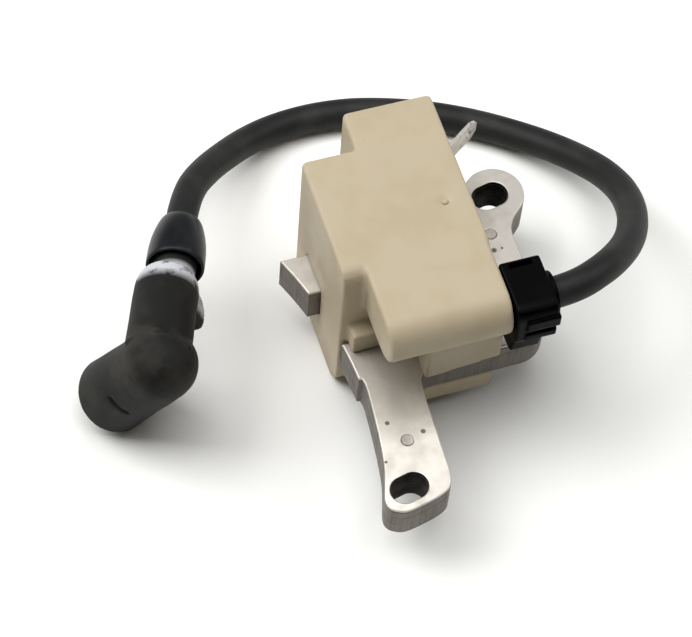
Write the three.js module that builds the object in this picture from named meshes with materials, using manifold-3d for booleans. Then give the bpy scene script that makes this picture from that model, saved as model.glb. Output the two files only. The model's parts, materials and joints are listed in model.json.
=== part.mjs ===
// Ignition coil of a small two-stroke engine: laminated core, potted housing, lead and plug boot.
// Millimetres, +Z up. Drawn about the front bolt slot on the core's top face, then moved so that
// the origin is the middle of the module's base.
import * as THREE from "three";
import { mergeVertices } from "three/addons/utils/BufferGeometryUtils.js";
import Module from "manifold-3d";

const wasm = await Module();
wasm.setup();

// ---- driving dimensions ----
const coreThick = 9.4; // stack of laminations
const packCount = 3; // packs the stack is drawn in
const packGap = 0.06;
const slotWidth = 6.4; // clears a 6 mm bolt
const slotLength = 8.6; // room to set the air gap
const slotTurn = 13; // degrees, along the flywheel's radius
const boltSpanX = 40.9;
const boltSpanY = 66.1;
const earRadius = 6.9;
const flywheelRadius = 100; // the poles follow this arc
const poleCrest = -2.1; // X of the arc's nearest point
const poleCrestY = 24;
const legWidth = 10;
const middleLegY = 57.1; // middle of the wound leg
const frontLegFrontY = 27.6;
const frontLegWidth = 10.1;
const yokeWidth = 12.3;
const pinRadius = 1.3;

const housingLeftX = -3.5;
const housingRightX = 29.4;
const housingTopZ = 25;
const wall = 2;
const baseDepth = 5.3; // potted depth below the coils
const bayLeftX = 8.9; // rear bay for the capacitor
const bayDepth = 10;
const topFrontRound = 4.2;
const baseFrontRound = 7;

const leadRadius = 3.5;
const towerRadius = 6.25;
const towerLeftX = 1.5;
const towerEndStep = 0.4; // the tower stops this far short of the body's side
const leadStartX = 14.6;
const leadFit = 0.25; // clearance round the lead

const retainerLength = 9.2;
const retainerWidth = 14.1;
const retainerHeight = 12;

const collarEnd = 40.6; // elbow to the collar's small end
const collarStart = 27.4;
const barrelRadius = 7.1;
const barrelAside = 1.1; // the barrel's skin is this much out of line with its bore
const socketBore = 5.6;
const socketWall = 2.8;

const fit = 0.3; // running gap round the wound leg
const skin = 0.8; // bobbin wall
const primaryBuild = 1.2;
const secondaryBuild = 1.6;
const coilRoom = 0.7; // between the coils and the housing

// ---- what follows from them ----
const legFrontY = middleLegY - legWidth / 2;
const legBackY = middleLegY + legWidth / 2;
const frontLegBackY = frontLegFrontY + frontLegWidth;
const yokeInnerX = housingRightX + 0.8;
const yokeOuterX = yokeInnerX + yokeWidth;
const tubeOuter = fit + skin;
const primaryOuter = tubeOuter + primaryBuild;
const secondaryInner = primaryOuter + fit;
const secondaryTube = secondaryInner + skin;
const secondaryOuter = secondaryTube + secondaryBuild;
const housingFrontY = frontLegBackY + 0.8;
const housingBackY = legBackY + secondaryOuter + coilRoom + wall;
const bayBackY = housingBackY + bayDepth;
const housingBaseZ = -coreThick - secondaryOuter - baseDepth;
const leadY = frontLegFrontY - 0.6;
const towerSink = 0.05; // the tower tops out just under the flat top
const leadZ = housingTopZ - towerRadius - towerSink;
const towerRightX = housingRightX - towerEndStep;
const retainerLeftX = towerRightX + 0.3;
const retainerRightX = retainerLeftX + retainerLength;
const neckRadius = leadRadius + 1.3;
const socketRadius = socketBore + socketWall;

// ---- helpers ----
const V = (x, y, z) => new THREE.Vector3(x, y, z);
const P = (x, y) => new THREE.Vector2(x, y);
const rad = THREE.MathUtils.degToRad;

function solid(geometry) {
  const g = geometry.clone();
  g.deleteAttribute("normal");
  g.deleteAttribute("uv");
  const m = mergeVertices(g, 1e-4);
  return new wasm.Manifold(
    new wasm.Mesh({
      numProp: 3,
      vertProperties: new Float32Array(m.attributes.position.array),
      triVerts: new Uint32Array(m.index.array),
    }),
  );
}

function geometryOf(made) {
  const m = made.getMesh();
  const g = new THREE.BufferGeometry();
  g.setAttribute("position", new THREE.BufferAttribute(new Float32Array(m.vertProperties), 3));
  g.setIndex(new THREE.BufferAttribute(new Uint32Array(m.triVerts), 1));
  g.computeVertexNormals();
  return g;
}

const join = (...list) => list.reduce((a, b) => a.add(b));
const cut = (base, ...tools) => tools.reduce((a, b) => a.subtract(b), base);

// A box between two corners.
function block(x0, x1, y0, y1, z0, z1) {
  const g = new THREE.BoxGeometry(x1 - x0, y1 - y0, z1 - z0);
  g.translate((x0 + x1) / 2, (y0 + y1) / 2, (z0 + z1) / 2);
  return solid(g);
}

// A rod from a to b.
function rod(a, b, radius, sides = 20) {
  const g = new THREE.CylinderGeometry(radius, radius, a.distanceTo(b), sides);
  return solid(lay(g, a.clone().add(b).multiplyScalar(0.5), b.clone().sub(a)));
}

// Turns a geometry's own Y axis to a direction and moves it to a place.
function lay(g, at, direction) {
  const turn = new THREE.Quaternion().setFromUnitVectors(V(0, 1, 0), direction.clone().normalize());
  return g.applyMatrix4(new THREE.Matrix4().compose(at, turn, V(1, 1, 1)));
}

// A turned piece: pairs of radius and distance along the axis.
function turned(at, direction, profile, sides = 32) {
  const points = profile.map(([r, y]) => P(r, y));
  return solid(lay(new THREE.LatheGeometry(points, sides), at, direction));
}

// A closed outline with its corners rounded: each corner is [x, y, radius].
function rounded(corners, steps = 5) {
  const out = [];
  corners.forEach(([x, y, r = 0], i) => {
    const here = P(x, y);
    const before = corners[(i + corners.length - 1) % corners.length];
    const after = corners[(i + 1) % corners.length];
    const a = P(before[0], before[1]).sub(here);
    const b = P(after[0], after[1]).sub(here);
    if (r <= 0) {
      out.push(here);
      return;
    }
    const half = Math.acos(a.clone().normalize().dot(b.clone().normalize())) / 2;
    const back = Math.min(r / Math.tan(half), a.length() * 0.48, b.length() * 0.48);
    const start = here.clone().add(a.setLength(back));
    const end = here.clone().add(b.setLength(back));
    for (let k = 0; k <= steps; k += 1) {
      const t = k / steps;
      out.push(
        start
          .clone()
          .multiplyScalar((1 - t) * (1 - t))
          .add(here.clone().multiplyScalar(2 * t * (1 - t)))
          .add(end.clone().multiplyScalar(t * t)),
      );
    }
  });
  return new THREE.Shape(out);
}

// An outline raised from z0 to z1, with an optional bevel inside those limits.
function raised(shape, z0, z1, bevel = 0) {
  const g = new THREE.ExtrudeGeometry(shape, {
    depth: z1 - z0 - 2 * bevel,
    steps: 1,
    curveSegments: 8,
    bevelEnabled: bevel > 0,
    bevelThickness: bevel,
    bevelSize: bevel,
    bevelOffset: -bevel,
    bevelSegments: 3,
  });
  g.translate(0, 0, z0 + bevel);
  return g;
}

// The same, with the outline in Y and Z and raised along X.
function raisedX(shape, x0, x1, bevel = 0) {
  const g = raised(shape, x0, x1, bevel);
  const turn = new THREE.Matrix4().set(0, 0, 1, 0, 1, 0, 0, 0, 0, 1, 0, 0, 0, 0, 0, 1);
  return g.applyMatrix4(turn);
}

function slotPath(cx, cy, width, length) {
  const path = new THREE.Path();
  const r = width / 2;
  const half = (length - width) / 2;
  const points = [];
  for (let k = 0; k < 32; k += 1) {
    const angle = ((k + 0.5) / 32) * 2 * Math.PI;
    const side = Math.cos(angle) > 0 ? half : -half;
    points.push(P(side + r * Math.cos(angle), r * Math.sin(angle)));
  }
  points.forEach((p) => p.rotateAround(P(0, 0), rad(slotTurn)).add(P(cx, cy)));
  path.setFromPoints(points);
  return path;
}

const ignitionModule = new THREE.Group();

function add(name, made, colour, roughness = 0.6, metalness = 0) {
  const g = made.isBufferGeometry ? made : geometryOf(made);
  const mesh = new THREE.Mesh(g, new THREE.MeshStandardMaterial({ color: colour, roughness, metalness }));
  mesh.name = name;
  ignitionModule.add(mesh);
  return mesh;
}

// ---- core ----
const poleX = (y) => {
  const dy = y - poleCrestY;
  return poleCrest - flywheelRadius + Math.sqrt(flywheelRadius * flywheelRadius - dy * dy);
};
const earX = boltSpanX + 1.1; // the ear's round is a little outside the slot's middle
const earY = boltSpanY + 0.3;
const pinFront = P(3.2, 11.1);
const pinRear = P(yokeOuterX - 4.8, middleLegY - 0.8);

// The front arm, down its left edge, round the ear and up its right edge to the front leg.
const frontArm = new THREE.SplineCurve([
  P(-1.25, 27),
  P(-1.3, 24.6),
  P(-1.85, 18.4),
  P(-2.5, 12.7),
  P(-3.5, 6.6),
  P(-4.8, 2.2),
  P(-5.9, -1.3),
  P(-5.6, -3.4),
  P(-4, -4.7),
  P(-1.6, -5.2),
  P(3.2, -4.3),
  P(6.9, -3.1),
  P(8.7, -1.6),
  P(9.5, 1.2),
  P(9.7, 5.3),
  P(10, 12.2),
  P(10.3, 19.2),
  P(10.7, 23.6),
  P(11.5, 25.8),
  P(13, 27.1),
  P(15.4, frontLegFrontY),
]);

function coreOutline() {
  const points = frontArm.getPoints(72).map((p) => [p.x, p.y]);
  const cornerR = 7;
  for (let k = 0; k <= 8; k += 1) {
    const a = rad(-90 + (90 * k) / 8);
    points.push([
      yokeOuterX - cornerR + cornerR * Math.cos(a),
      frontLegFrontY + cornerR + cornerR * Math.sin(a),
    ]);
  }
  const neck = [[0, 54.6], [0.1, 55.8], [0.4, 56.9], [0.9, 57.9], [1.5, 58.9], [2.4, 59.8], [3.4, 60.7]];
  neck.forEach(([x, y]) => points.push([yokeOuterX + x, y]));
  for (let k = 0; k <= 26; k += 1) {
    const a = rad(-40 + (222 * k) / 26);
    points.push([earX + earRadius * Math.cos(a), earY + earRadius * Math.sin(a)]);
  }
  points.push([earX - earRadius, legBackY + 1.6], [earX - earRadius - 0.5, legBackY + 0.5]);
  points.push([earX - earRadius - 1.6, legBackY]);
  for (let k = 0; k <= 6; k += 1) {
    const y = legBackY - (legWidth * k) / 6;
    points.push([poleX(y), y]);
  }
  points.push([yokeInnerX - 0.4, legFrontY], [yokeInnerX, legFrontY - 0.4]);
  points.push([yokeInnerX, frontLegBackY + 0.6], [yokeInnerX - 0.6, frontLegBackY]);
  for (let k = 0; k <= 5; k += 1) {
    const y = frontLegBackY - ((frontLegBackY - frontLegFrontY - 0.7) * k) / 5;
    points.push([poleX(y), y]);
  }
  points.push([-1.5, frontLegFrontY + 0.5]);
  return points.map(([x, y]) => P(x, y));
}

const core = new THREE.Shape(coreOutline());
core.holes.push(slotPath(0, 0, slotWidth, slotLength));
core.holes.push(slotPath(boltSpanX, boltSpanY, slotWidth, slotLength));
for (const pin of [pinFront, pinRear]) {
  const hole = new THREE.Path();
  hole.absarc(pin.x, pin.y, pinRadius + 0.05, 0, 2 * Math.PI);
  core.holes.push(hole);
}
const packNames = ["core_laminations_lower", "core_laminations_middle", "core_laminations_upper"];
const packThick = coreThick / packCount;
packNames.forEach((name, i) => {
  const low = -coreThick + i * packThick;
  const top = i === packCount - 1 ? 0 : low + packThick - packGap;
  add(name, solid(raised(core, low, top)), "#a9a7a4", 0.4, 0.9);
});
[["stack_pin_front", pinFront], ["stack_pin_rear", pinRear]].forEach(([name, pin]) => {
  add(name, rod(V(pin.x, pin.y, -coreThick), V(pin.x, pin.y, -0.02), pinRadius, 24), "#8d8b88", 0.4, 0.9);
});

// ---- housing ----
const overCore = 0.25; // gap left over and under the steel
const overhang = 0.5; // the plan starts ahead of the side profile that trims it
const plan = (inset, round) =>
  rounded(
    [
      [housingLeftX + inset, housingFrontY - overhang + inset, round],
      [housingRightX - inset, housingFrontY - overhang + inset, round],
      [housingRightX - inset, bayBackY - inset, round],
      [bayLeftX + inset, bayBackY - inset, round],
      [bayLeftX + inset, housingBackY - inset, 0],
      [housingLeftX + inset, housingBackY - inset, round],
    ],
    4,
  );
const trim = 0.07; // the rounds start this far outside the flat top and base
// The front of the body as seen from its side, rounded above and below.
const sideLimit = rounded([
  [housingFrontY, housingBaseZ - trim, baseFrontRound],
  [housingFrontY + 16, housingBaseZ - trim, 0],
  [housingFrontY + 16, housingBaseZ - 5, 0],
  [bayBackY + 5, housingBaseZ - 5, 0],
  [bayBackY + 5, housingTopZ + 5, 0],
  [housingFrontY + 12, housingTopZ + 5, 0],
  [housingFrontY + 12, housingTopZ + trim, 0],
  [housingFrontY, housingTopZ + trim, topFrontRound],
]);
const underTower = leadZ - towerRadius;
const towerPoints = [P(housingFrontY + 6, underTower)];
towerPoints.push(P(housingFrontY + 6, leadZ + towerRadius));
for (let k = 0; k <= 20; k += 1) {
  const a = rad(90 + (180 * k) / 20);
  towerPoints.push(P(leadY + towerRadius * Math.cos(a), leadZ + towerRadius * Math.sin(a)));
}
const towerSide = new THREE.Shape(towerPoints);
const along = V(1, 0, 0);
const apron = rounded([
  [11.5, 24.2, 0.6],
  [towerRightX + 0.2, 25.4, 0.6],
  [towerRightX + 0.2, housingFrontY + 1, 0],
  [12, housingFrontY + 1, 0],
]);
const outside = join(
  solid(raised(plan(0, 1.3), housingBaseZ, housingTopZ, 0.6)).intersect(
    solid(raisedX(sideLimit, housingLeftX - 5, housingRightX + 5)),
  ),
  solid(raisedX(towerSide, towerLeftX, towerRightX, 0.6)),
  block(-1.6, 13, frontLegBackY - 3, housingFrontY + 1, overCore, 6.4),
  solid(raised(apron, overCore, leadZ - 4)),
  block(13, housingRightX, frontLegFrontY, housingFrontY + 1, -coreThick - 6.1, -coreThick - overCore),
);
const cavityBaseZ = -coreThick - secondaryOuter - 0.9;
const pourFrontY = housingFrontY + 7.5; // the base is open from here back
const terminalZ = 19.2;
const terminalY = housingBackY - wall - 0.5;
const terminalWidth = 5.8;
const terminalThick = 0.8;
const cavity = join(
  solid(raised(plan(wall, 0.6), cavityBaseZ, housingTopZ - wall)),
  block(
    housingLeftX + wall + 1,
    housingRightX - wall - 1,
    pourFrontY,
    housingBackY - wall - 1,
    housingBaseZ - 1,
    cavityBaseZ + 1,
  ),
);
const legHole = block(
  housingLeftX - 9,
  housingRightX + 1,
  legFrontY - overCore,
  legBackY + overCore,
  -coreThick - overCore,
  overCore,
);
const terminalHole = block(
  housingRightX - wall - 1,
  housingRightX + 1,
  terminalY - terminalThick / 2 - fit,
  terminalY + terminalThick / 2 + fit,
  terminalZ - terminalWidth / 2 - fit,
  terminalZ + terminalWidth / 2 + fit,
);
const sealRadius = leadRadius + 1.4;
const sealLength = 4;
const shell = cut(
  outside,
  cavity,
  legHole,
  terminalHole,
  rod(V(6.5, leadY, leadZ), V(towerRightX + 1, leadY, leadZ), leadRadius + leadFit, 28),
  rod(V(towerRightX - sealLength, leadY, leadZ), V(towerRightX + 1, leadY, leadZ), sealRadius + 0.05, 28),
  rod(V(9.5, leadY, leadZ), V(9.5, housingFrontY + wall + 1, leadZ), 1.3, 16),
);
add("housing_shell", shell, "#c9b795", 0.55);
const pour = 3.2;
add(
  "potting_fill",
  block(
    housingLeftX + wall + 1.1,
    housingRightX - wall - 1.1,
    pourFrontY + 0.1,
    housingBackY - wall - 1.1,
    housingBaseZ + 0.3,
    housingBaseZ + 0.3 + pour,
  ),
  "#a89778",
  0.8,
);

// ---- coils on the wound leg ----
const legMidZ = -coreThick / 2;
const halfY = legWidth / 2;
const halfZ = coreThick / 2;

// A square ring about the wound leg, from inner to outer growth, between two X stations.
function ring(x0, x1, inner, outer) {
  const round = 1 + outer * 0.3;
  const frame = (grow, r) => [
    [middleLegY - halfY - grow, legMidZ - halfZ - grow, r],
    [middleLegY + halfY + grow, legMidZ - halfZ - grow, r],
    [middleLegY + halfY + grow, legMidZ + halfZ + grow, r],
    [middleLegY - halfY - grow, legMidZ + halfZ + grow, r],
  ];
  const tube = solid(raisedX(rounded(frame(outer, round), 4), x0, x1));
  return cut(tube, solid(raisedX(rounded(frame(inner, inner * 0.4), 4), x0 - 1, x1 + 1)));
}

function bobbin(x0, x1, inner, tube, flange) {
  return join(
    ring(x0, x1, inner, tube),
    ring(x0, x0 + skin, inner, flange),
    ring(x1 - skin, x1, inner, flange),
  );
}

const coilGap = 0.08;
const chargeLength = 7;
const chargeLeft = housingLeftX + wall + 0.4;
const chargeRight = chargeLeft + chargeLength;
const transformerLeft = chargeRight + 0.7;
const transformerRight = housingRightX - wall - 0.4;
const coilTurn = 0.95; // a winding ends a little below its bobbin's flange
add("charge_bobbin", bobbin(chargeLeft, chargeRight, fit, tubeOuter, secondaryOuter), "#e9e4d8", 0.6);
add(
  "charge_winding",
  ring(chargeLeft + skin + coilGap, chargeRight - skin - coilGap, tubeOuter + coilGap, secondaryOuter * coilTurn),
  "#b8703a",
  0.4,
  0.7,
);
add("primary_bobbin", bobbin(transformerLeft, transformerRight, fit, tubeOuter, primaryOuter), "#e9e4d8", 0.6);
add(
  "primary_winding",
  ring(
    transformerLeft + skin + coilGap,
    transformerRight - skin - coilGap,
    tubeOuter + coilGap,
    primaryOuter * coilTurn,
  ),
  "#b8703a",
  0.4,
  0.7,
);
add(
  "secondary_bobbin",
  bobbin(transformerLeft, transformerRight, secondaryInner, secondaryTube, secondaryOuter),
  "#e9e4d8",
  0.6,
);
add(
  "secondary_winding",
  ring(
    transformerLeft + skin + coilGap,
    transformerRight - skin - coilGap,
    secondaryTube + coilGap,
    secondaryOuter * coilTurn,
  ),
  "#9c5a2c",
  0.4,
  0.7,
);

// ---- electronics ----
const coilTop = legMidZ + halfZ + secondaryOuter;
const boardLow = coilTop + 0.4;
const boardTop = boardLow + 1.6;
const onBoard = boardTop + 0.1;
const boardLeft = housingLeftX + wall + 0.6;
const boardRight = housingRightX - wall - 0.5;
const boardFront = housingFrontY + 9;
const boardBack = housingBackY - wall - 1.6;
add("circuit_board", block(boardLeft, boardRight, boardFront, boardBack, boardLow, boardTop), "#2f6b3c", 0.5);
const can = { length: 14.4, width: 9.3, height: 11.5 };
const canRight = boardRight - 0.8;
const canBack = boardBack - 0.2;
const canSide = rounded([
  [canRight - can.length, canBack - can.width, 1],
  [canRight, canBack - can.width, 1],
  [canRight, canBack, 1],
  [canRight - can.length, canBack, 1],
]);
add("storage_capacitor", solid(raised(canSide, onBoard, onBoard + can.height, 0.5)), "#b5412c", 0.4);
const deviceLeft = boardLeft + 2.4;
const deviceFront = boardBack - 5.8;
const deviceSide = rounded([
  [deviceLeft, deviceFront, 0.3],
  [deviceLeft + 4.8, deviceFront, 0.3],
  [deviceLeft + 4.8, deviceFront + 3.6, 1.6],
  [deviceLeft, deviceFront + 3.6, 1.6],
]);
add("switching_thyristor", solid(raised(deviceSide, onBoard, onBoard + 5)), "#1c1c1e", 0.4);
[["rectifier_diode", 2.7], ["clamp_diode", 5.9]].forEach(([name, inset]) => {
  const from = V(boardLeft + 3.4, boardFront + inset, onBoard + 1.4);
  add(name, rod(from, from.clone().add(V(5.2, 0, 0)), 1.35, 20), "#1c1c1e", 0.4);
});
const resistorFrom = V(boardLeft + 12.9, boardFront + 3.5, onBoard + 1.25);
add("gate_resistor", rod(resistorFrom, resistorFrom.clone().add(V(6.3, 0, 0)), 1.15, 20), "#c8a878", 0.5);

// ---- terminals ----
const tabTurn = rad(35);
const tabLength = 9.6;
const tabHalf = terminalWidth / 2;
const tabShape = rounded([
  [0, -tabHalf, 0.3],
  [tabLength - 2, -tabHalf, 0.8],
  [tabLength, -tabHalf / 2, 0.6],
  [tabLength, tabHalf / 2, 0.6],
  [tabLength - 2, tabHalf, 0.8],
  [0, tabHalf, 0.3],
]);
const tabHole = new THREE.Path();
tabHole.absarc(tabLength - 3, 0, 1.05, 0, 2 * Math.PI);
tabShape.holes.push(tabHole);
const tab = raised(tabShape, -terminalThick / 2, terminalThick / 2);
tab.rotateX(Math.PI / 2);
tab.rotateZ(tabTurn);
tab.translate(housingRightX + 0.6, terminalY, terminalZ);
const tabTail = block(
  housingRightX - wall - 1,
  housingRightX + 0.8,
  terminalY - terminalThick / 2,
  terminalY + terminalThick / 2,
  terminalZ - tabHalf,
  terminalZ + tabHalf,
);
add("stop_terminal", join(solid(tab), tabTail), "#b9b7b0", 0.35, 0.9);
add(
  "earth_strap",
  join(
    block(housingRightX + 0.1, housingRightX + 0.4, legFrontY - 2.1, legFrontY + 1.9, 0.1, 6),
    block(housingRightX + 0.1, yokeInnerX + 3, legFrontY - 2.1, legFrontY + 1.9, 0.1, 0.5),
  ),
  "#b98a4a",
  0.35,
  0.9,
);
const cupX = 8.2;
const contactY = housingFrontY + wall + 2.9;
add(
  "tower_contact",
  join(
    rod(V(cupX, leadY, leadZ), V(cupX + 2.8, leadY, leadZ), 2.6, 24),
    rod(V(cupX + 2, leadY, leadZ), V(leadStartX - 0.3, leadY, leadZ), 0.7, 12),
    rod(V(cupX + 1.3, leadY, leadZ), V(cupX + 1.3, contactY, leadZ), 0.8, 12),
    rod(V(cupX + 1.3, contactY, leadZ + 0.79), V(cupX + 1.3, contactY, 1), 0.8, 12),
    rod(V(cupX + 1.3, contactY, 1.7), V(cupX + 1.3, contactY + 2.8, 1.7), 0.7, 12),
  ),
  "#c49a50",
  0.35,
  0.9,
);

// ---- seal and retainer ----
add(
  "lead_seal",
  turned(V(towerRightX - sealLength + 0.15, leadY, leadZ), along, [
    [leadRadius + leadFit, 0],
    [sealRadius - 0.1, 0],
    [sealRadius - 0.1, sealLength - 0.25],
    [leadRadius + leadFit, sealLength - 0.25],
    [leadRadius + leadFit, 0],
  ]),
  "#26241f",
  0.9,
);
const halfW = retainerWidth / 2;
const topZ = leadZ + retainerHeight / 2 - 0.55;
const retainerSide = rounded([
  [leadY - halfW, topZ - retainerHeight, 2.6],
  [leadY + halfW, topZ - retainerHeight, 2.2],
  [leadY + halfW, topZ, 0.8],
  [leadY - halfW, topZ, 2.8],
]);
const lipSide = rounded([
  [leadY - halfW - 0.8, topZ - 6.2, 0.6],
  [leadY - halfW + 4, topZ - 6.2, 0.6],
  [leadY - halfW + 4, topZ - 2.6, 0.6],
  [leadY - halfW - 0.8, topZ - 2.6, 0.6],
]);
const ribSide = rounded([
  [leadY - halfW - 0.5, topZ - 10, 0.6],
  [leadY - halfW + 4, topZ - 10, 0.6],
  [leadY - halfW + 4, topZ - 7.6, 0.6],
  [leadY - halfW - 0.5, topZ - 7.6, 0.6],
]);
const footSide = rounded([
  [leadY - 4.6, leadZ - 12.5, 1.4],
  [leadY + 3.4, leadZ - 12.5, 1.4],
  [leadY + 3.4, leadZ - 5, 0],
  [leadY - 6, leadZ - 5, 0],
]);
const retainer = cut(
  join(
    solid(raisedX(retainerSide, retainerLeftX, retainerRightX, 0.5)),
    solid(raisedX(lipSide, retainerLeftX + 2, retainerRightX + 0.3, 0.3)),
    solid(raisedX(ribSide, retainerLeftX + 2, retainerRightX - 0.2, 0.3)),
    solid(raisedX(footSide, retainerLeftX + 0.3, retainerRightX - 2.2, 0.5)),
    rod(V(retainerRightX - 1, leadY, leadZ), V(retainerRightX + 1.2, leadY, leadZ), leadRadius + 1.5, 32),
  ),
  rod(V(retainerLeftX - 1, leadY, leadZ), V(retainerRightX + 3, leadY, leadZ), leadRadius + leadFit, 28),
  block(retainerLeftX + 2, retainerRightX - 2, leadY + halfW - 1.9, leadY + halfW - 0.8, topZ - 2.4, topZ + 1),
  block(retainerLeftX + 3, retainerRightX - 1.5, leadY - halfW - 2, leadY - halfW + 1.2, topZ - 7.4, topZ - 6.4),
);
add("lead_retainer", retainer, "#1a1a1c", 0.35);

// ---- lead ----
const elbow = V(-43.2, 40.1, 6);
const barrelDir = V(15.8, 38.7, -6).normalize();
const onBarrel = (d) => elbow.clone().addScaledVector(barrelDir, d);
const floorZ = housingBaseZ + leadRadius;
const leadEndAt = 8;
const route = [
  V(leadStartX, leadY, leadZ),
  V(28, leadY, leadZ),
  V(41, leadY, leadZ),
  V(46.6, 28, leadZ - 0.4),
  V(52.4, 30.8, 16.6),
  V(58, 34.9, 13.5),
  V(63.2, 40.3, 9.4),
  V(67.4, 46.8, 5),
  V(70.3, 54.2, 0.7),
  V(71.4, 61.8, -3.3),
  V(70.4, 69.5, -7),
  V(67.4, 76.9, -10.3),
  V(63, 84, -13.2),
  V(57.2, 90.6, -15.4),
  V(50, 96.2, floorZ + 0.02),
  V(41.3, 101, floorZ + 0.02),
  V(32, 104.8, floorZ + 0.02),
  V(22, 107.6, floorZ + 0.02),
  V(12.3, 108.6, floorZ + 0.02),
  V(3.4, 107.6, -15.5),
  V(-4.6, 104.3, -13.3),
  V(-11.6, 99.5, -10.1),
  V(-17.6, 94, -6.2),
  V(-22.4, 88.3, -2.8),
  onBarrel(collarEnd + 4),
  onBarrel(collarEnd - 6),
  onBarrel(22),
  onBarrel(leadEndAt),
];
const leadPath = new THREE.CatmullRomCurve3(route, false, "centripetal");
const leadCircle = new THREE.Shape();
leadCircle.absarc(0, 0, leadRadius, 0, 2 * Math.PI);
const lead = new THREE.ExtrudeGeometry(leadCircle, {
  steps: 64,
  extrudePath: leadPath,
  curveSegments: 10,
  bevelEnabled: false,
});
add("ht_lead", solid(lead), "#2b2926", 0.85);

// ---- plug boot ----
const mouth = V(-52.35, 48, -15.9);
const socketDir = mouth.clone().sub(elbow).normalize();
const socketLength = mouth.distanceTo(elbow);
const sideways = V().crossVectors(barrelDir, socketDir).normalize().negate();
const domeProfile = [];
const domeSteps = 7;
for (let k = 0; k <= domeSteps; k += 1) {
  const a = rad(90 - (90 * k) / domeSteps);
  domeProfile.push([socketRadius * 0.98 * Math.cos(a), -socketRadius * 0.92 * Math.sin(a)]);
}
domeProfile[0][0] = 0;
const socketOutside = [
  ...domeProfile,
  [socketRadius * 0.98, 6],
  [socketRadius, 14],
  [socketRadius + 0.15, socketLength - 1.2],
  [socketRadius - 0.2, socketLength - 0.3],
  [socketRadius - 1, socketLength],
  [0, socketLength],
];
const shoulderStart = 20;
const shoulderLength = 5.2;
const barrelOutside = [
  [0, 0],
  [barrelRadius, 0],
  [barrelRadius + 0.1, 8],
];
for (let k = 0; k <= 7; k += 1) {
  const a = rad((78 * k) / 7);
  barrelOutside.push([
    neckRadius - 1.5 + (barrelRadius - neckRadius + 1.5) * Math.cos(a),
    shoulderStart + shoulderLength * Math.sin(a),
  ]);
}
barrelOutside.push([0, shoulderStart + shoulderLength]);
const neckEnd = collarStart + 7.6;
const aside = sideways.clone().multiplyScalar(-barrelAside);
const tabNormal = V(0.85, -0.28, 0.44).normalize();
const tabRadius = 5.2;
const tabDeep = 2.6;
const tabAt = onBarrel(19.6).add(aside).addScaledVector(sideways, barrelRadius);
const tabDisc = new THREE.CylinderGeometry(tabRadius, tabRadius, tabDeep, 40);
lay(tabDisc, tabAt.clone().addScaledVector(tabNormal, -tabDeep / 2), tabNormal);
const bootOutside = join(
  turned(elbow, socketDir, socketOutside, 40),
  turned(elbow.clone().add(aside), barrelDir, barrelOutside, 40),
  rod(onBarrel(shoulderStart), onBarrel(neckEnd), neckRadius, 36),
  solid(tabDisc),
);
const boreTop = elbow.clone().addScaledVector(socketDir, -2.6);
const boot = cut(
  bootOutside,
  rod(boreTop, mouth.clone().addScaledVector(socketDir, 3), socketBore, 32),
  rod(elbow, onBarrel(neckEnd + 2), leadRadius + leadFit, 28),
);
add("plug_boot", boot, "#3a3732", 0.9);
const clipLow = 4.5;
const clipHigh = 17;
const clipOuter = socketBore - fit;
const clipInner = clipOuter - 1;
add(
  "plug_clip",
  turned(
    elbow,
    socketDir,
    [
      [clipInner, clipLow],
      [clipOuter, clipLow],
      [clipOuter, clipHigh],
      [clipInner, clipHigh],
      [clipInner, clipLow],
    ],
    28,
  ),
  "#b9b7b0",
  0.35,
  0.9,
);
add(
  "lead_end_pin",
  join(
    rod(onBarrel(leadEndAt - fit), elbow, 0.9, 14),
    rod(onBarrel(-0.8), elbow.clone().addScaledVector(barrelDir, 0.8), 1.2, 14),
    rod(elbow, elbow.clone().addScaledVector(socketDir, clipLow - 0.5), 0.9, 14),
    rod(
      elbow.clone().addScaledVector(socketDir, clipLow - 1.3),
      elbow.clone().addScaledVector(socketDir, clipLow - fit),
      clipOuter - 0.4,
      24,
    ),
  ),
  "#c49a50",
  0.35,
  0.9,
);
const collarInner = neckRadius + 1; // room for the shoulder to nest in its mouth
const collarOuter = 6.5;
const collarStep = neckEnd + 1;
add(
  "boot_collar",
  turned(
    elbow,
    barrelDir,
    [
      [collarInner, collarStart],
      [collarOuter - 0.3, collarStart],
      [collarOuter, collarStart + 1],
      [collarOuter - 0.1, collarStart + 4],
      [collarOuter - 0.4, collarStart + 7.5],
      [collarOuter - 1, collarEnd - 3.2],
      [leadRadius + 1.5, collarEnd - 1],
      [leadRadius + 0.9, collarEnd],
      [leadRadius + leadFit, collarEnd],
      [leadRadius + leadFit, collarStep],
      [collarInner, collarStep],
      [collarInner, collarStart],
    ],
    40,
  ),
  "#1f1e1d",
  0.7,
);

// ---- origin: the middle of the module's base ----
const earRight = earX + earRadius;
const earFrontY = -5.21;
const midX = (poleX(legBackY) + earRight) / 2;
const midY = (earFrontY + bayBackY) / 2;
ignitionModule.position.set(-midX, -midY, -housingBaseZ);
const part = new THREE.Group();
part.add(ignitionModule);

export default part;
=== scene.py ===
import json
import math

import bmesh
import bpy
from mathutils import Matrix, Vector, noise


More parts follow.
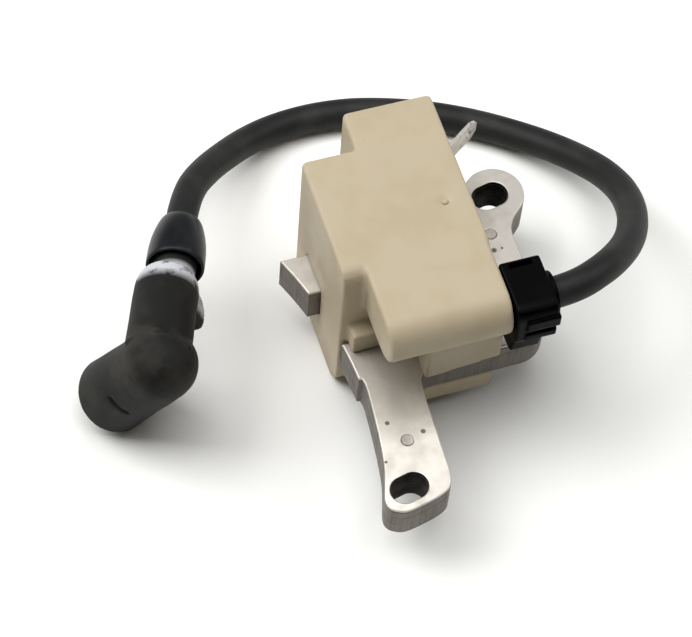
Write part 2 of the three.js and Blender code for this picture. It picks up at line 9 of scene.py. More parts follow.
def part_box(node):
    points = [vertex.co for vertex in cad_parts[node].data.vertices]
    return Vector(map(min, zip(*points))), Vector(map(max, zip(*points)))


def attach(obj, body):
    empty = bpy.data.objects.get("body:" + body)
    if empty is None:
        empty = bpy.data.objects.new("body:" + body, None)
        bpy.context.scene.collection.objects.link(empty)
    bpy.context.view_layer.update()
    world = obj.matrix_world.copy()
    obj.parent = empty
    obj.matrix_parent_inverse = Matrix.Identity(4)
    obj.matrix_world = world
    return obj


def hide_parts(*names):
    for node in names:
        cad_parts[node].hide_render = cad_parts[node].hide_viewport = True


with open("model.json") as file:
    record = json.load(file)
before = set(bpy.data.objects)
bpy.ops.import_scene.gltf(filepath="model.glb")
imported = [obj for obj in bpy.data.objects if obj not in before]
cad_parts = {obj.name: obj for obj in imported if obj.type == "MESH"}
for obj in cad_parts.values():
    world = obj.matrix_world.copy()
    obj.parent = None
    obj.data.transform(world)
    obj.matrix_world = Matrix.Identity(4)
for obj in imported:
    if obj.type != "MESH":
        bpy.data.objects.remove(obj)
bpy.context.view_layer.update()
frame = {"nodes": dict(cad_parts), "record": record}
nodes = frame["nodes"]
scene = bpy.context.scene
mm = 0.001

# sizes are drawn from the middle of the front bolt slot, on top of the core
openings = {o["name"]: o["box_m"] for o in frame["record"]["physics"]["openings"]}
slotLow, slotHigh = openings["front_bolt_slot"]
coreLow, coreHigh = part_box("core_laminations_upper")
origin = Vector(((slotLow[0] + slotHigh[0]) / 2, (slotLow[1] + slotHigh[1]) / 2, coreHigh.z))


def place(x, y, z):
    # millimetres from the front bolt slot, as metres in the frame
    return origin + Vector((x, y, z)) * mm


camera = {"aim": (-0.0244, -0.0048, 0.039), "distance": 0.6, "azimuth": -22.1, "elevation": 57.7,
          "roll": 5.3, "lens": 148.3}


def makeCamera(spec):
    a = math.radians(spec["azimuth"])
    e = math.radians(spec["elevation"])
    back = Vector((math.cos(e) * math.sin(a), -math.cos(e) * math.cos(a), math.sin(e)))
    level = Vector((math.cos(a), math.sin(a), 0))
    right = Matrix.Rotation(math.radians(spec["roll"]), 3, back) @ level
    up = back.cross(right)
    data = bpy.data.cameras.new("mainCamera")
    data.lens = spec["lens"]
    data.sensor_width = 36
    made = bpy.data.objects.new("mainCamera", data)
    turn = Matrix((right, up, back)).transposed().to_4x4()
    made.matrix_world = Matrix.Translation(Vector(spec["aim"]) + back * spec["distance"]) @ turn
    scene.collection.objects.link(made)
    scene.camera = made


makeCamera(camera)
print("camera placed")


def addObject(name, mesh, smooth=True):
    made = bpy.data.objects.new(name, mesh)
    scene.collection.objects.link(made)
    if smooth:
        mesh.shade_smooth()
    return made


def bake(piece):
    # turns the modifiers' result into a plain mesh and drops them
    bpy.context.view_layer.update()
    graph = bpy.context.evaluated_depsgraph_get()
    made = bpy.data.meshes.new_from_object(piece.evaluated_get(graph), depsgraph=graph)
    piece.modifiers.clear()
    piece.data = made
    return piece


def mergedCopy(node, within=1e-7):
    work = bmesh.new()
    work.from_mesh(nodes[node].data)
    bmesh.ops.remove_doubles(work, verts=work.verts, dist=within)
    bmesh.ops.recalc_face_normals(work, faces=work.faces)
    return work


def finished(work, name, smooth=True):
    mesh = bpy.data.meshes.new(name)
    work.to_mesh(mesh)
    work.free()
    return addObject(name, mesh, smooth)


def moulded(node, name, voxel, passes):
    # a copy of a CAD node with its edges and inner corners rounded as a mould rounds them
    piece = finished(mergedCopy(node, 2e-6), name)
    piece.data.transform(Matrix.Scale(1 / mm, 4))
    remesh = piece.modifiers.new("voxels", "REMESH")
    remesh.mode = "VOXEL"
    remesh.voxel_size = voxel
    soften = piece.modifiers.new("soften", "SMOOTH")
    soften.factor = 0.5
    soften.iterations = passes
    bake(piece)
    piece.data.transform(Matrix.Scale(mm, 4))
    piece.data.shade_smooth()
    return piece


def press(piece, a, b, radius, depth):
    # pushes the skin in along the line from a to b, or out where depth is negative
    a, b = place(*a), place(*b)
    along = b - a
    # normals are read first, as each change of a vertex has them all worked out again
    for vertex, normal in [(v, v.normal.copy()) for v in piece.data.vertices]:
        t = (vertex.co - a).dot(along) / max(along.length_squared, 1e-12)
        gap = (vertex.co - a - along * min(max(t, 0), 1)).length / (radius * mm)
        if gap < 1:
            vertex.co -= normal * depth * mm * (1 - gap * gap) ** 2


def dress(piece, surface, body):
    piece.data.materials.clear()
    piece.data.materials.append(surface)
    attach(piece, body)


# high-tension lead: its route is in millimetres, and its last points lie on the boot's barrel
lead = {
    "radius": 3.5,
    "sides": 28,
    "perSpan": 8,
    "exit": (39.7, 27, 18.7),
    "elbow": (-43.2, 40.1, 6),
    "barrel": (15.8, 38.7, -6),
    "onBarrel": (44.6, 34.6, 22, 8),
    "route": (
        (14.6, 27, 18.7), (28, 27, 18.7), (41, 27, 18.7), (46.6, 28, 18.3), (52.4, 30.8, 16.6),
        (58, 34.9, 13.5), (63.2, 40.3, 9.4), (67.4, 46.8, 5), (70.3, 54.2, 0.7), (71.4, 61.8, -3.3),
        (70.4, 69.5, -7), (67.4, 76.9, -10.3), (63, 84, -13.2), (57.2, 90.6, -15.4), (50, 96.2, -16.18),
        (41.3, 101, -16.18), (32, 104.8, -16.18), (22, 107.6, -16.18), (12.3, 108.6, -16.18),
        (3.4, 107.6, -15.5), (-4.6, 104.3, -13.3), (-11.6, 99.5, -10.1), (-17.6, 94, -6.2),
        (-22.4, 88.3, -2.8),
    ),
}
elbow = place(*lead["elbow"])
barrel = Vector(lead["barrel"]).normalized()


def onBarrel(distance):
    return elbow + barrel * distance * mm


def spanPoints(p, steps):
    # one span of a centripetal Catmull-Rom curve, from p[1] up to p[2]
    gaps = [math.sqrt((p[k + 1] - p[k]).length) for k in range(3)]
    leave = (p[1] - p[0]) / gaps[0] - (p[2] - p[0]) / (gaps[0] + gaps[1]) + (p[2] - p[1]) / gaps[1]
    arrive = (p[2] - p[1]) / gaps[1] - (p[3] - p[1]) / (gaps[1] + gaps[2]) + (p[3] - p[2]) / gaps[2]
    line = []
    for k in range(steps):
        t = k / steps
        line.append(
            p[1] * (2 * t ** 3 - 3 * t ** 2 + 1) + leave * gaps[1] * (t ** 3 - 2 * t ** 2 + t)
            + p[2] * (3 * t ** 2 - 2 * t ** 3) + arrive * gaps[1] * (t ** 3 - t ** 2)
        )
    return line


def smoothRoute(points, perSpan):
    ends = [points[0] * 2 - points[1]] + points + [points[-1] * 2 - points[-2]]
    line = []
    for k in range(len(points) - 1):
        line += spanPoints(ends[k:k + 4], perSpan)
    return line + [points[-1]]


def tubeAlong(line, radius, sides, name):
    # a closed tube whose rings don't twist, with a UV map in metres along and around it
    work = bmesh.new()
    uv = work.loops.layers.uv.new("along")
    heading = (line[1] - line[0]).normalized()
    side = heading.cross(Vector((0, 0, 1))).normalized()
    rings, stations = [], [0.0]
    for k, point in enumerate(line):
        ahead = (line[min(k + 1, len(line) - 1)] - line[max(k - 1, 0)]).normalized()
        side = (side - ahead * side.dot(ahead)).normalized()
        other = ahead.cross(side)
        ring = []
        for n in range(sides):
            a = 2 * math.pi * n / sides
            ring.append(work.verts.new(point + (side * math.cos(a) + other * math.sin(a)) * radius))
        rings.append(ring)
        if k:
            stations.append(stations[-1] + (point - line[k - 1]).length)
    for k in range(len(rings) - 1):
        for n in range(sides):
            m = (n + 1) % sides
            face = work.faces.new((rings[k][n], rings[k][m], rings[k + 1][m], rings[k + 1][n]))
            corners = ((k, n), (k, n + 1), (k + 1, n + 1), (k + 1, n))
            for loop, (ringAt, turnAt) in zip(face.loops, corners):
                loop[uv].uv = (stations[ringAt], turnAt / sides * 2 * math.pi * radius)
    work.faces.new(list(reversed(rings[0])))
    work.faces.new(rings[-1])
    bmesh.ops.recalc_face_normals(work, faces=work.faces)
    return finished(work, name)


leadPoints = [place(*p) for p in lead["route"]] + [onBarrel(d) for d in lead["onBarrel"]]
leadLine = smoothRoute(leadPoints, lead["perSpan"])
leadPiece = tubeAlong(leadLine, lead["radius"] * mm, lead["sides"], "highTensionLead")
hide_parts("ht_lead")


# shader groups hold the effects that several materials share
def newGroup(name, inputs, output, kind="NodeSocketFloat"):
    tree = bpy.data.node_groups.new(name, "ShaderNodeTree")
    for label, value in inputs:
        socket = tree.interface.new_socket(name=label, in_out="INPUT", socket_type="NodeSocketFloat")
        socket.default_value = value
    tree.interface.new_socket(name=output, in_out="OUTPUT", socket_type=kind)
    return tree, tree.nodes.new("NodeGroupInput"), tree.nodes.new("NodeGroupOutput")


def objectNoise(tree, scale, detail=5.0, stretch=None, seed=0.0):
    # noise in the piece's own metres; stretch squeezes it along X, Y or Z
    coordinates = tree.nodes.new("ShaderNodeTexCoord")
    turn = tree.nodes.new("ShaderNodeMapping")
    turn.inputs["Location"].default_value = (seed, seed * 0.7, seed * 0.3)
    turn.inputs["Scale"].default_value = stretch or (1, 1, 1)
    texture = tree.nodes.new("ShaderNodeTexNoise")
    texture.inputs["Detail"].default_value = detail
    texture.inputs["Roughness"].default_value = 0.6
    tree.links.new(coordinates.outputs["Object"], turn.inputs["Vector"])
    tree.links.new(turn.outputs["Vector"], texture.inputs["Vector"])
    if isinstance(scale, bpy.types.NodeSocket):
        tree.links.new(scale, texture.inputs["Scale"])
    else:
        texture.inputs["Scale"].default_value = scale
    return texture.outputs["Fac"]


def mapped(tree, value, low, high):
    # value from low..high to 0..1, where either end may be a socket
    node = tree.nodes.new("ShaderNodeMapRange")
    node.interpolation_type = "SMOOTHSTEP"
    tree.links.new(value, node.inputs["Value"])
    for label, end in (("From Min", low), ("From Max", high)):
        if isinstance(end, bpy.types.NodeSocket):
            tree.links.new(end, node.inputs[label])
        else:
            node.inputs[label].default_value = end
    return node.outputs["Result"]


def combine(tree, kind, a, b):
    node = tree.nodes.new("ShaderNodeMath")
    node.operation = kind
    for k, value in enumerate((a, b)):
        if isinstance(value, bpy.types.NodeSocket):
            tree.links.new(value, node.inputs[k])
        else:
            node.inputs[k].default_value = value
    return node.outputs[0]


def speckleGroup():
    # specks of dirt or bloom: more of them as Threshold falls
    inputs = (("Scale", 900), ("Threshold", 0.6), ("Softness", 0.05))
    tree, given, out = newGroup("Speckle", inputs, "Mask")
    fine = objectNoise(tree, given.outputs["Scale"], 6.0)
    edge = combine(tree, "ADD", given.outputs["Threshold"], given.outputs["Softness"])
    tree.links.new(mapped(tree, fine, given.outputs["Threshold"], edge), out.inputs["Mask"])
    return tree


def cloudGroup():
    # broad soft patches
    tree, given, out = newGroup("Cloud", (("Scale", 60), ("Low", 0.4), ("High", 0.6)), "Mask")
    broad = objectNoise(tree, given.outputs["Scale"], 3.0, seed=0.37)
    tree.links.new(mapped(tree, broad, given.outputs["Low"], given.outputs["High"]), out.inputs["Mask"])
    return tree


def grainGroup():
    # the skin of a moulding: fine grain over broader unevenness
    tree, given, out = newGroup("Grain", (("Fine", 2500), ("Broad", 250), ("Share", 0.35)), "Height")
    fine = objectNoise(tree, given.outputs["Fine"], 2.0)
    broad = objectNoise(tree, given.outputs["Broad"], 4.0, seed=0.11)
    part = combine(tree, "MULTIPLY", fine, given.outputs["Share"])
    tree.links.new(combine(tree, "ADD", part, broad), out.inputs["Height"])
    return tree


def streakGroup():
    # streaks that a punch leaves up a sheared edge
    tree, given, out = newGroup("Streaks", (("Scale", 1800), ("Low", 0.42), ("High", 0.62)), "Mask")
    lines = objectNoise(tree, given.outputs["Scale"], 4.0, stretch=(1, 1, 0.06))
    tree.links.new(mapped(tree, lines, given.outputs["Low"], given.outputs["High"]), out.inputs["Mask"])
    return tree


def spotGroup():
    # one soft-edged round mark about a point in the piece's own metres
    tree, given, out = newGroup("Spot", (("X", 0), ("Y", 0), ("Z", 0), ("Radius", 0.001)), "Mask")
    coordinates, centre = tree.nodes.new("ShaderNodeTexCoord"), tree.nodes.new("ShaderNodeCombineXYZ")
    away = tree.nodes.new("ShaderNodeVectorMath")
    away.operation = "DISTANCE"
    for label in "XYZ":
        tree.links.new(given.outputs[label], centre.inputs[label])
    tree.links.new(coordinates.outputs["Object"], away.inputs[0])
    tree.links.new(centre.outputs[0], away.inputs[1])
    outer = combine(tree, "MULTIPLY", given.outputs["Radius"], 1.3)
    inner = combine(tree, "MULTIPLY", given.outputs["Radius"], 0.7)
    tree.links.new(mapped(tree, away.outputs["Value"], outer, inner), out.inputs["Mask"])
    return tree


groups = {
    "speckle": speckleGroup(), "cloud": cloudGroup(), "grain": grainGroup(),
    "streaks": streakGroup(), "spot": spotGroup(),
}


def tint(code):
    # a hex colour as linear light
    parts = [int(code[k:k + 2], 16) / 255 for k in (1, 3, 5)]
    linear = [c / 12.92 if c <= 0.04045 else ((c + 0.055) / 1.055) ** 2.4 for c in parts]
    return (*linear, 1)


def startMaterial(name, colour, roughness, metallic=0.0, specular=0.5):
    made = bpy.data.materials.new(name)
    made.use_nodes = True
    shader = made.node_tree.nodes["Principled BSDF"]
    shader.inputs["Base Color"].default_value = tint(colour)
    shader.inputs["Roughness"].default_value = roughness
    shader.inputs["Metallic"].default_value = metallic
    shader.inputs["Specular IOR Level"].default_value = specular
    return made, made.node_tree, shader


def effect(tree, kind, **values):
    node = tree.nodes.new("ShaderNodeGroup")
    node.node_tree = groups[kind]
    for label, value in values.items():
        node.inputs[label].default_value = value
    return node.outputs[0]


def linkLayers(tree, shader, base, layers):
    # lays colours over a base, each through its mask times a strength
    under = base
    for colour, mask, strength in layers:
        mix = tree.nodes.new("ShaderNodeMix")
        mix.data_type = "RGBA"
        tree.links.new(combine(tree, "MULTIPLY", mask, strength), mix.inputs[0])
        if isinstance(under, bpy.types.NodeSocket):
            tree.links.new(under, mix.inputs[6])
        else:
            mix.inputs[6].default_value = tint(under)
        mix.inputs[7].default_value = tint(colour)
        under = mix.outputs[2]
    tree.links.new(under, shader.inputs["Base Color"])


def linkBump(tree, shader, height, strength, distance):
    bump = tree.nodes.new("ShaderNodeBump")
    bump.inputs["Strength"].default_value = strength
    bump.inputs["Distance"].default_value = distance * mm
    tree.links.new(height, bump.inputs["Height"])
    tree.links.new(bump.outputs["Normal"], shader.inputs["Normal"])


def linkRange(tree, shader, socket, mask, low, high):
    node = tree.nodes.new("ShaderNodeMapRange")
    tree.links.new(mask, node.inputs["Value"])
    node.inputs["To Min"].default_value = low
    node.inputs["To Max"].default_value = high
    tree.links.new(node.outputs["Result"], shader.inputs[socket])


def spot(tree, x, y, z, radius):
    at = place(x, y, z)
    return effect(tree, "spot", X=at.x, Y=at.y, Z=at.z, Radius=radius * mm)


def housingPlastic():
    made, tree, shader = startMaterial("housingPlastic", "#aea188", 0.5, specular=0.35)
    patches = effect(tree, "cloud", Scale=55, Low=0.42, High=0.66)
    dust = effect(tree, "speckle", Scale=1500, Threshold=0.68, Softness=0.05)
    grime = effect(tree, "speckle", Scale=420, Threshold=0.71, Softness=0.06)
    linkLayers(tree, shader, "#aea188", (
        ("#a29375", patches, 0.4), ("#93805f", dust, 0.3), ("#6b5a40", grime, 0.35),
        ("#3a2f20", spot(tree, 4.3, 21.0, 22, 0.5), 0.8)))
    linkRange(tree, shader, "Roughness", patches, 0.44, 0.56)
    linkBump(tree, shader, effect(tree, "grain", Fine=2600, Broad=210, Share=0.25), 0.14, 0.1)
    return made


def coreSteel():
    made, tree, shader = startMaterial("coreSteel", "#cbc6be", 0.42, 0.75)
    patches = effect(tree, "cloud", Scale=120, Low=0.4, High=0.68)
    marks = effect(tree, "speckle", Scale=700, Threshold=0.69, Softness=0.04)
    nicks = ((0.3, 16.2, 0.5), (7.1, 12.2, 0.55), (-2.9, 7.2, 0.35), (37, 51.9, 0.6), (38.9, 52, 0.3))
    linkLayers(tree, shader, "#cbc6be", [("#a8a198", patches, 0.6), ("#5e544a", marks, 0.5)] + [
        ("#3b342d", spot(tree, x, y, 0, radius), 0.85) for x, y, radius in nicks])
    linkRange(tree, shader, "Roughness", patches, 0.36, 0.5)
    linkBump(tree, shader, effect(tree, "grain", Fine=4200, Broad=500, Share=0.6), 0.12, 0.08)
    return made


def shearedSteel():
    made, tree, shader = startMaterial("shearedSteel", "#6f6962", 0.5, 0.75)
    streaks = effect(tree, "streaks", Scale=1300, Low=0.46, High=0.7)
    marks = effect(tree, "speckle", Scale=1200, Threshold=0.64, Softness=0.08)
    linkLayers(tree, shader, "#6f6962", (("#5f5850", streaks, 0.4), ("#4a4039", marks, 0.35)))
    linkRange(tree, shader, "Roughness", streaks, 0.42, 0.6)
    linkBump(tree, shader, streaks, 0.16, 0.06)
    return made


def plainMetal(name, colour, darker, roughness):
    made, tree, shader = startMaterial(name, colour, roughness, 0.9)
    patches = effect(tree, "cloud", Scale=260, Low=0.38, High=0.66)
    marks = effect(tree, "speckle", Scale=1600, Threshold=0.62, Softness=0.07)
    linkLayers(tree, shader, colour, ((darker, patches, 0.6), (darker, marks, 0.6)))
    linkRange(tree, shader, "Roughness", patches, roughness, roughness + 0.16)
    linkBump(tree, shader, effect(tree, "grain", Fine=3600, Broad=700, Share=0.5), 0.12, 0.06)
    return made


def plainPlastic(name, colour, darker, roughness, specular=0.5, bump=0.12):
    made, tree, shader = startMaterial(name, colour, roughness, specular=specular)
    patches = effect(tree, "cloud", Scale=160, Low=0.4, High=0.66)
    linkLayers(tree, shader, colour, ((darker, patches, 0.7),))
    linkRange(tree, shader, "Roughness", patches, roughness - 0.05, roughness + 0.08)
    linkBump(tree, shader, effect(tree, "grain", Fine=3000, Broad=380, Share=0.4), bump, 0.08)
    return made


def rubber(name, colour, dustColour, dustShare, dirtColour, roughness, bump):
    # aged black rubber: a pale bloom in patches and specks of dirt in its skin
    made, tree, shader = startMaterial(name, colour, roughness, specular=0.2)
    bloom = effect(tree, "cloud", Scale=95, Low=0.42, High=0.68)
    dust = effect(tree, "speckle", Scale=1300, Threshold=0.64, Softness=0.1)
    dirt = effect(tree, "speckle", Scale=700, Threshold=0.7, Softness=0.06)
    layers = [(dustColour, bloom, dustShare), (dustColour, dust, dustShare), (dirtColour, dirt, 0.4)]
    chalk = tree.nodes.new("ShaderNodeAttribute")
    chalk.attribute_name = "chalk"
    worn = effect(tree, "cloud", Scale=420, Low=0.3, High=0.5)
    layers.append(("#babbbf", combine(tree, "MULTIPLY", chalk.outputs["Fac"], worn), 1.0))
    linkLayers(tree, shader, colour, layers)
    linkRange(tree, shader, "Roughness", dust, roughness - 0.06, roughness + 0.1)
    linkBump(tree, shader, effect(tree, "grain", Fine=2400, Broad=420, Share=0.5), bump, 0.12)
    return made


surfaces = {
    "housing": housingPlastic(),
    "coreTop": coreSteel(),
    "coreEdge": shearedSteel(),
    # the slot walls' dark colour is painted shade
    "slotWall": plainMetal("slotWall", "#2a2622", "#17140f", 0.6),
    "pin": plainMetal("pinSteel", "#b0a9a2", "#847c75", 0.4),
    "resin": plainPlastic("pottingResin", "#a39372", "#8c7b5b", 0.42, 0.5, 0.2),
    "bobbin": plainPlastic("bobbinPlastic", "#e6e0d2", "#d6cfbe", 0.5),
    "copper": plainMetal("enamelledCopper", "#b4662f", "#7f4119", 0.32),
    "board": plainPlastic("circuitBoard", "#2f6b3c", "#255631", 0.45),
    "capacitor": plainPlastic("capacitorCase", "#b5412c", "#9c3421", 0.35),
    "device": plainPlastic("deviceBlack", "#1c1c1e", "#141415", 0.4),
    "resistor": plainPlastic("resistorBody", "#c8a878", "#b1905f", 0.45),
    "tinned": plainMetal("tinnedSteel", "#c9c6bf", "#8f8a80", 0.34),
    "brass": plainMetal("contactBrass", "#c49a50", "#94702f", 0.34),
    "seal": rubber("sealRubber", "#26241f", "#4a4740", 0.2, "#1a1814", 0.85, 0.2),
    "retainer": plainPlastic("retainerNylon", "#010102", "#030304", 0.4, 0.04, 0.08),
    "lead": rubber("leadRubber", "#1c1d1c", "#3c3c3a", 0.3, "#454036", 0.6, 0.1),
    "boot": rubber("bootRubber", "#111110", "#37352f", 0.5, "#554a36", 0.7, 0.4),
    "collar": rubber("collarRubber", "#17181a", "#33363a", 0.25, "#24221f", 0.4, 0.1),
}
print("materials made:", len(surfaces))

dress(leadPiece, surfaces["lead"], "module")


# core: a stack of punched laminations, sizes in millimetres
core = {
    "laminations": 19,
    "bottomNode": "core_laminations_lower",
    "topNode": "core_laminations_upper",
    "gap": 0.012,
    "shift": 0.035,
    "dieRoll": 0.26,
    "seed": 11,
    "slotReach": 4.6,
}
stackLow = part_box(core["bottomNode"])[0].z
stackPitch = (coreHigh.z - stackLow) / core["laminations"]


def laminationPlate(name, thickness, roll):
    # one closed lamination with its underside at zero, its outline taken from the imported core
    work = mergedCopy(core["topNode"])
    for vertex in work.verts:
        vertex.co.z = thickness if vertex.co.z > coreHigh.z - 0.1 * mm else 0
    bmesh.ops.dissolve_limit(work, angle_limit=math.radians(0.2), verts=work.verts, edges=work.edges)
    if roll:
        rim = [e for e in work.edges if len(e.link_faces) == 2 and e.calc_face_angle() > 1
               and min(v.co.z for v in e.verts) > thickness * 0.9]
        bmesh.ops.bevel(work, geom=rim, offset=roll, segments=3, profile=0.5, affect="EDGES",
                        clamp_overlap=False)
    bmesh.ops.triangulate(work, faces=[f for f in work.faces if len(f.verts) > 4])
    return finished(work, name, smooth=False)


def groupSocket(tree, label, kind, value=None):
    socket = tree.interface.new_socket(name=label, in_out="INPUT", socket_type=kind)
    if value is not None:
        socket.default_value = value
    return socket.identifier


def stackTree():
    # copies a plate up a line, each a hair out of place, and joins them into one mesh
    tree = bpy.data.node_groups.new("LaminationStack", "GeometryNodeTree")
    sockets = {
        "plate": groupSocket(tree, "Plate", "NodeSocketObject"),
        "count": groupSocket(tree, "Count", "NodeSocketInt", 3),
        "pitch": groupSocket(tree, "Pitch", "NodeSocketFloat", 0.001),
        "base": groupSocket(tree, "Base", "NodeSocketFloat", 0.0),
        "shift": groupSocket(tree, "Shift", "NodeSocketFloat", 0.0),
        "seed": groupSocket(tree, "Seed", "NodeSocketInt", 1),
        "material": groupSocket(tree, "Material", "NodeSocketMaterial"),
    }
    tree.interface.new_socket(name="Geometry", in_out="OUTPUT", socket_type="NodeSocketGeometry")
    new, link = tree.nodes.new, tree.links.new
    given, out = new("NodeGroupInput"), new("NodeGroupOutput")
    start, step = new("ShaderNodeCombineXYZ"), new("ShaderNodeCombineXYZ")
    line = new("GeometryNodeMeshLine")
    link(given.outputs["Base"], start.inputs["Z"])
    link(given.outputs["Pitch"], step.inputs["Z"])
    link(given.outputs["Count"], line.inputs["Count"])
    link(start.outputs[0], line.inputs["Start Location"])
    link(step.outputs[0], line.inputs["Offset"])
    plate, copies = new("GeometryNodeObjectInfo"), new("GeometryNodeInstanceOnPoints")
    link(given.outputs["Plate"], plate.inputs["Object"])
    link(line.outputs["Mesh"], copies.inputs["Points"])
    link(plate.outputs["Geometry"], copies.inputs["Instance"])
    chance, nudge = new("FunctionNodeRandomValue"), new("ShaderNodeVectorMath")
    move = new("GeometryNodeTranslateInstances")
    chance.data_type = "FLOAT_VECTOR"
    chance.inputs[0].default_value = (-1, -1, 0)
    chance.inputs[1].default_value = (1, 1, 0)
    link(given.outputs["Seed"], chance.inputs["Seed"])
    nudge.operation = "SCALE"
    link(chance.outputs[0], nudge.inputs[0])
    link(given.outputs["Shift"], nudge.inputs["Scale"])
    link(copies.outputs[0], move.inputs["Instances"])
    link(nudge.outputs[0], move.inputs["Translation"])
    whole, paint = new("GeometryNodeRealizeInstances"), new("GeometryNodeSetMaterial")
    link(move.outputs[0], whole.inputs[0])
    link(whole.outputs[0], paint.inputs["Geometry"])
    link(given.outputs["Material"], paint.inputs["Material"])
    link(paint.outputs[0], out.inputs[0])
    return tree, sockets


def paintSlotShade(piece):
    # painted shade: the bolt slots' walls lie out of the light, so they are given a dark steel colour
    piece.data.materials.append(surfaces["slotWall"])
    for low, high in (openings["front_bolt_slot"], openings["rear_bolt_slot"]):
        centre = (Vector(low) + Vector(high)) / 2
        for face in piece.data.polygons:
            away = face.center - centre
            if abs(face.normal.z) < 0.3 and math.hypot(away.x, away.y) < core["slotReach"] * mm:
                face.material_index = 1


def makeCore():
    thickness = stackPitch - core["gap"] * mm
    plate = laminationPlate("laminationPlate", thickness, 0)
    stack = addObject("coreLaminations", bpy.data.meshes.new("coreLaminations"), smooth=False)
    tree, sockets = stackTree()
    modifier = stack.modifiers.new("stack", "NODES")
    modifier.node_group = tree
    values = {"plate": plate, "count": core["laminations"] - 1, "pitch": stackPitch, "base": stackLow,
              "shift": core["shift"] * mm, "seed": core["seed"], "material": surfaces["coreEdge"]}
    for label, value in values.items():
        modifier[sockets[label]] = value
    bake(stack)
    bpy.data.objects.remove(plate)
    dress(stack, surfaces["coreEdge"], "module")
    # the slot walls of each lamination get the dark colour of painted shade
    paintSlotShade(stack)
    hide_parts(core["bottomNode"], "core_laminations_middle")

    top = laminationPlate("coreTopLamination", thickness, core["dieRoll"] * mm)
    top.data.transform(Matrix.Translation((0, 0, coreHigh.z - thickness)))
    dress(top, surfaces["coreTop"], "module")
    paintSlotShade(top)
    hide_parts(core["topNode"])


makeCore()
print("core stacked")

# housing: voxel and passes set how rounded its edges are; the gate is where the mould was filled
housing = {"voxel": 0.47, "passes": 2, "gateAt": (23.3, 51.7), "gateTop": 25, "gateRadius": 1.1,
           "dishRadius": 2.2, "dishDepth": 0.45}
housingPiece = moulded("housing_shell", "housingShell", housing["voxel"], housing["passes"])
gateCentre = (*housing["gateAt"], housing["gateTop"])
press(housingPiece, gateCentre, gateCentre, housing["dishRadius"], housing["dishDepth"])
dress(housingPiece, surfaces["housing"], "module")
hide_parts("housing_shell")
housingLow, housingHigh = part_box("housing_shell")


def turnedPiece(name, profile, at, direction, sides):
    # a closed solid of revolution: pairs of radius and height in millimetres, along a direction
    work = bmesh.new()
    turn = direction.to_track_quat("Z", "Y").to_matrix()
    rings = []
    for radius, height in profile:
        ring = []
        for n in range(sides if radius > 0 else 1):
            a = 2 * math.pi * n / sides
            local = Vector((radius * math.cos(a), radius * math.sin(a), height)) * mm
            ring.append(work.verts.new(at + turn @ local))
        rings.append(ring)
    pairs = list(zip(rings, rings[1:]))
    if len(rings[0]) > 1:
        pairs.append((rings[-1], rings[0]))
    for low, high in pairs:
        for n in range(sides):
            m = (n + 1) % sides
            corners = [low[n % len(low)], low[m % len(low)], high[m % len(high)], high[n % len(high)]]
            corners = list(dict.fromkeys(corners))
            if len(corners) > 2:
                work.faces.new(corners)
    bmesh.ops.recalc_face_normals(work, faces=work.faces)
    return finished(work, name)


def gateMark():
    # the sprue's broken stub in its shallow ring
    r = housing["gateRadius"]
    x, y = housing["gateAt"]
    at = place(x, y, 0)
    at.z = housingHigh.z
    profile = ((0, 0), (r * 0.4, 0.04), (r * 0.62, -0.06), (r * 0.7, -0.3), (r * 0.6, -0.7), (0, -0.7))
    piece = turnedPiece("gateMark", profile, at, Vector((0, 0, 1)), 40)
    dress(piece, surfaces["housing"], "module")


gateMark()
print("housing moulded")

# lead retainer
retainer = {"voxel": 0.2, "passes": 3}
retainerPiece = moulded("lead_retainer", "leadRetainer", retainer["voxel"], retainer["passes"])
dress(retainerPiece, surfaces["retainer"], "module")
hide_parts("lead_retainer")

# plug boot: each mark is pressed from one point to another, with its radius and depth
boot = {
    "voxel": 0.34, "passes": 6, "lump": 0.14, "lumpSize": 7.0,
    "shoulder": (18.8, 21, 24.6, 26.2), "tabReach": 8, "tabSide": (0.85, -0.28, 0.44), "tabChalk": 0.5,
    "marks": (
        ((-54.6, 39.7, -2.6), (-51.7, 36.6, -4.9), 0.9, 0.7),
        ((-49, 45.5, 9.2), (-42.7, 44.3, 13.2), 1.1, -0.45),
        ((-42.7, 44.3, 13.2), (-37, 39.8, 10.7), 1.1, -0.45),
    ),
}


def between(value, low, high):
    return min(max((value - low) / (high - low), 0), 1)


def makeBoot():
    piece = moulded("plug_boot", "plugBoot", boot["voxel"], boot["passes"])
    for vertex, normal in [(v, v.normal.copy()) for v in piece.data.vertices]:
        at = vertex.co / (boot["lumpSize"] * mm)
        vertex.co += normal * noise.noise(at) * boot["lump"] * mm
    for a, b, radius, depth in boot["marks"]:
        press(piece, a, b, radius, depth)
    chalk = piece.data.attributes.new("chalk", "FLOAT", "POINT")
    begin, full, fade, end = boot["shoulder"]
    tabSide = Vector(boot["tabSide"]).normalized()
    for k, vertex in enumerate(piece.data.vertices):
        away = (vertex.co - elbow) / mm
        along = away.dot(barrel)
        band = between(along, begin, full) * between(along, end, fade)
        tab = between(away.dot(tabSide), boot["tabReach"], boot["tabReach"] + 0.6)
        onTab = tab * boot["tabChalk"]
        chalk.data[k].value = max(band * (1 - tab), onTab)
    dress(piece, surfaces["boot"], "boot")
    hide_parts("plug_boot")
    return piece


bootPiece = makeBoot()

# collar: pairs of radius and distance from the elbow
collar = {
    "marks": (
        ((-31.5, 70.9, 7.6), (-31.5, 70.9, 7.6), 1.3, 0.35),
        ((-30.2, 68.2, 8), (-31, 67, 8), 0.9, -0.25),
    ),
    "inner": 5.8, "leadHole": 3.75, "step": 36, "sides": 72,
    "profile": (
        (6.1, 27.4), (6.35, 27.45), (6.48, 27.8), (6.5, 28.6), (6.48, 30.6), (6.4, 32.4),
        (6.2, 34.4), (5.85, 36.4), (5.4, 38.2), (4.95, 39.6), (4.6, 40.3), (4.3, 40.6),
    ),
}


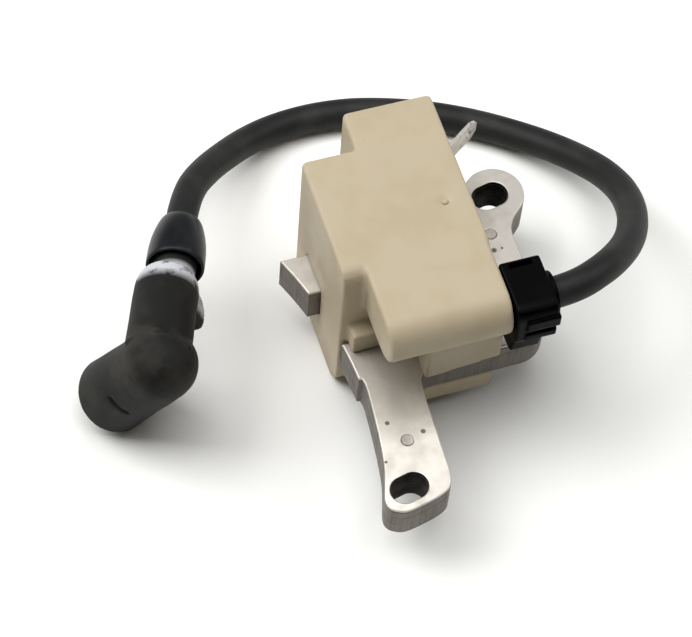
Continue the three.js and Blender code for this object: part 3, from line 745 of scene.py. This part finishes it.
def makeCollar():
    hole, inner, step = collar["leadHole"], collar["inner"], collar["step"]
    bore = ((hole, 40.6), (hole, step), (inner, step), (inner, 27.6), (5.95, 27.4))
    piece = turnedPiece("bootCollar", collar["profile"] + bore, elbow, barrel, collar["sides"])
    for a, b, radius, depth in collar["marks"]:
        press(piece, a, b, radius, depth)
    dress(piece, surfaces["collar"], "collar")
    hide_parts("boot_collar")
    return piece


collarPiece = makeCollar()
print("boot and collar made")

# stop terminal
terminal = {"burr": 0.1}


def makeTerminal():
    work = mergedCopy("stop_terminal")
    bmesh.ops.dissolve_limit(work, angle_limit=math.radians(0.5), verts=work.verts, edges=work.edges)
    rim = [e for e in work.edges if len(e.link_faces) == 2 and e.calc_face_angle() > 0.9]
    bmesh.ops.bevel(work, geom=rim, offset=terminal["burr"] * mm, segments=2, profile=0.5, affect="EDGES",
                    clamp_overlap=True)
    piece = finished(work, "stopTerminal", smooth=False)
    dress(piece, surfaces["tinned"], "module")
    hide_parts("stop_terminal")


makeTerminal()

# CAD pieces that keep their shape, and their materials
keptPieces = {
    "stack_pin_front": "pin", "stack_pin_rear": "pin", "potting_fill": "resin",
    "charge_bobbin": "bobbin", "primary_bobbin": "bobbin", "secondary_bobbin": "bobbin",
    "charge_winding": "copper", "primary_winding": "copper", "secondary_winding": "copper",
    "circuit_board": "board", "storage_capacitor": "capacitor", "switching_thyristor": "device",
    "rectifier_diode": "device", "clamp_diode": "device", "gate_resistor": "resistor",
    "earth_strap": "brass", "tower_contact": "brass", "lead_seal": "seal", "plug_clip": "tinned",
    "lead_end_pin": "brass",
}
for node, surface in keptPieces.items():
    nodes[node].data.materials.clear()
    nodes[node].data.materials.append(surfaces[surface])
print("CAD pieces dressed:", len(keptPieces))

# floor, world and lights: each light's name, place, size and power in watts
studio = {
    "floorSize": 3.0, "floorColour": "#f4f4f1",
    "skyTop": 1.45, "skyLow": 0.45, "skyFrom": (-0.35, 0.3, 0.88),
    "lights": (
        ("keyLeftBack", (-0.55, 0.35, 0.75), 0.6, 8.0),
        ("overhead", (0.05, 0.1, 1.0), 0.8, 7.0),
        ("fillRight", (0.8, 0.1, 0.6), 0.6, 3.0),
    ),
}


def makeStudio():
    half = studio["floorSize"] / 2
    work = bmesh.new()
    corners = ((-half, -half), (half, -half), (half, half), (-half, half))
    work.faces.new([work.verts.new((x, y, 0)) for x, y in corners])
    floor = finished(work, "floor", smooth=False)
    paper, _, _ = startMaterial("floorPaper", studio["floorColour"], 0.75, specular=0.2)
    floor.data.materials.append(paper)
    for name, at, size, power in studio["lights"]:
        data = bpy.data.lights.new(name, "AREA")
        data.shape = "SQUARE"
        data.size = size
        data.energy = power
        lamp = bpy.data.objects.new(name, data)
        lamp.location = at
        lamp.rotation_euler = (Vector((0, 0, 0)) - Vector(at)).to_track_quat("-Z", "Y").to_euler()
        scene.collection.objects.link(lamp)
    world = bpy.data.worlds.new("studioWorld")
    world.use_nodes = True
    scene.world = world
    tree = world.node_tree
    sky = tree.nodes["Background"]
    coordinates, facing = tree.nodes.new("ShaderNodeTexCoord"), tree.nodes.new("ShaderNodeVectorMath")
    facing.operation = "DOT_PRODUCT"
    facing.inputs[1].default_value = Vector(studio["skyFrom"]).normalized()
    share = tree.nodes.new("ShaderNodeMapRange")
    share.inputs["From Min"].default_value = -0.5
    share.inputs["From Max"].default_value = 0.95
    share.inputs["To Min"].default_value = studio["skyLow"]
    share.inputs["To Max"].default_value = studio["skyTop"]
    tree.links.new(coordinates.outputs["Generated"], facing.inputs[0])
    tree.links.new(facing.outputs["Value"], share.inputs["Value"])
    tree.links.new(share.outputs["Result"], sky.inputs["Strength"])


makeStudio()
scene.view_settings.view_transform = "Standard"
print("studio lit")
